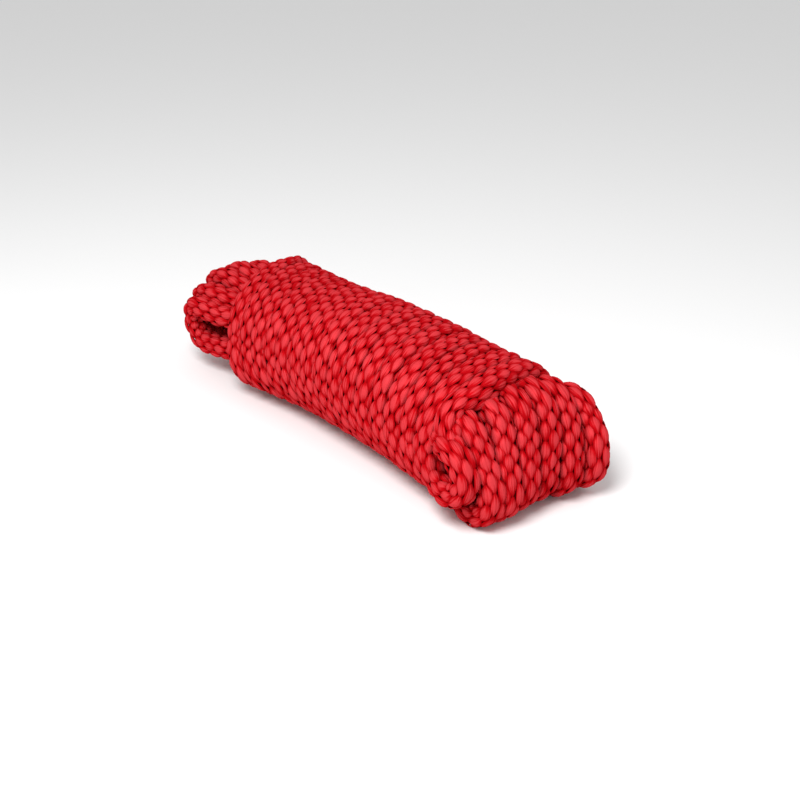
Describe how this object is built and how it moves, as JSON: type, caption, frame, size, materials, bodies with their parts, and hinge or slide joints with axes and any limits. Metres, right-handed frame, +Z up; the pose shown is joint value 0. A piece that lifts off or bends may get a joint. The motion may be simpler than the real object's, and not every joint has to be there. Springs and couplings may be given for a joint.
{
  "type": "coiled dock line",
  "caption": "Hank of solid-braid mooring line: flat loops laid lengthwise, close-wrapped round their middle, with bights showing at both ends.",
  "frame": {"origin": "on the floor under the middle of the whole hank's box", "axes": "+X along the hank towards the end where the wrapping stops, +Z up, +Y to the back of the hank"},
  "size_m": [0.2176, 0.071, 0.0504],
  "materials": {
    "braided_line": "red multifilament polypropylene solid braid, satin",
    "melted_end": "the same yarn melted into a smooth hard cap"
  },
  "bodies": {
    "root": {"wrap_coil": "braided_line", "core_runs": "braided_line", "near_bights": "braided_line", "far_bights": "braided_line", "start_tail": "braided_line", "finishing_tail": "braided_line", "start_seal": "melted_end", "finish_seal": "melted_end"}
  },
  "joints": []
}
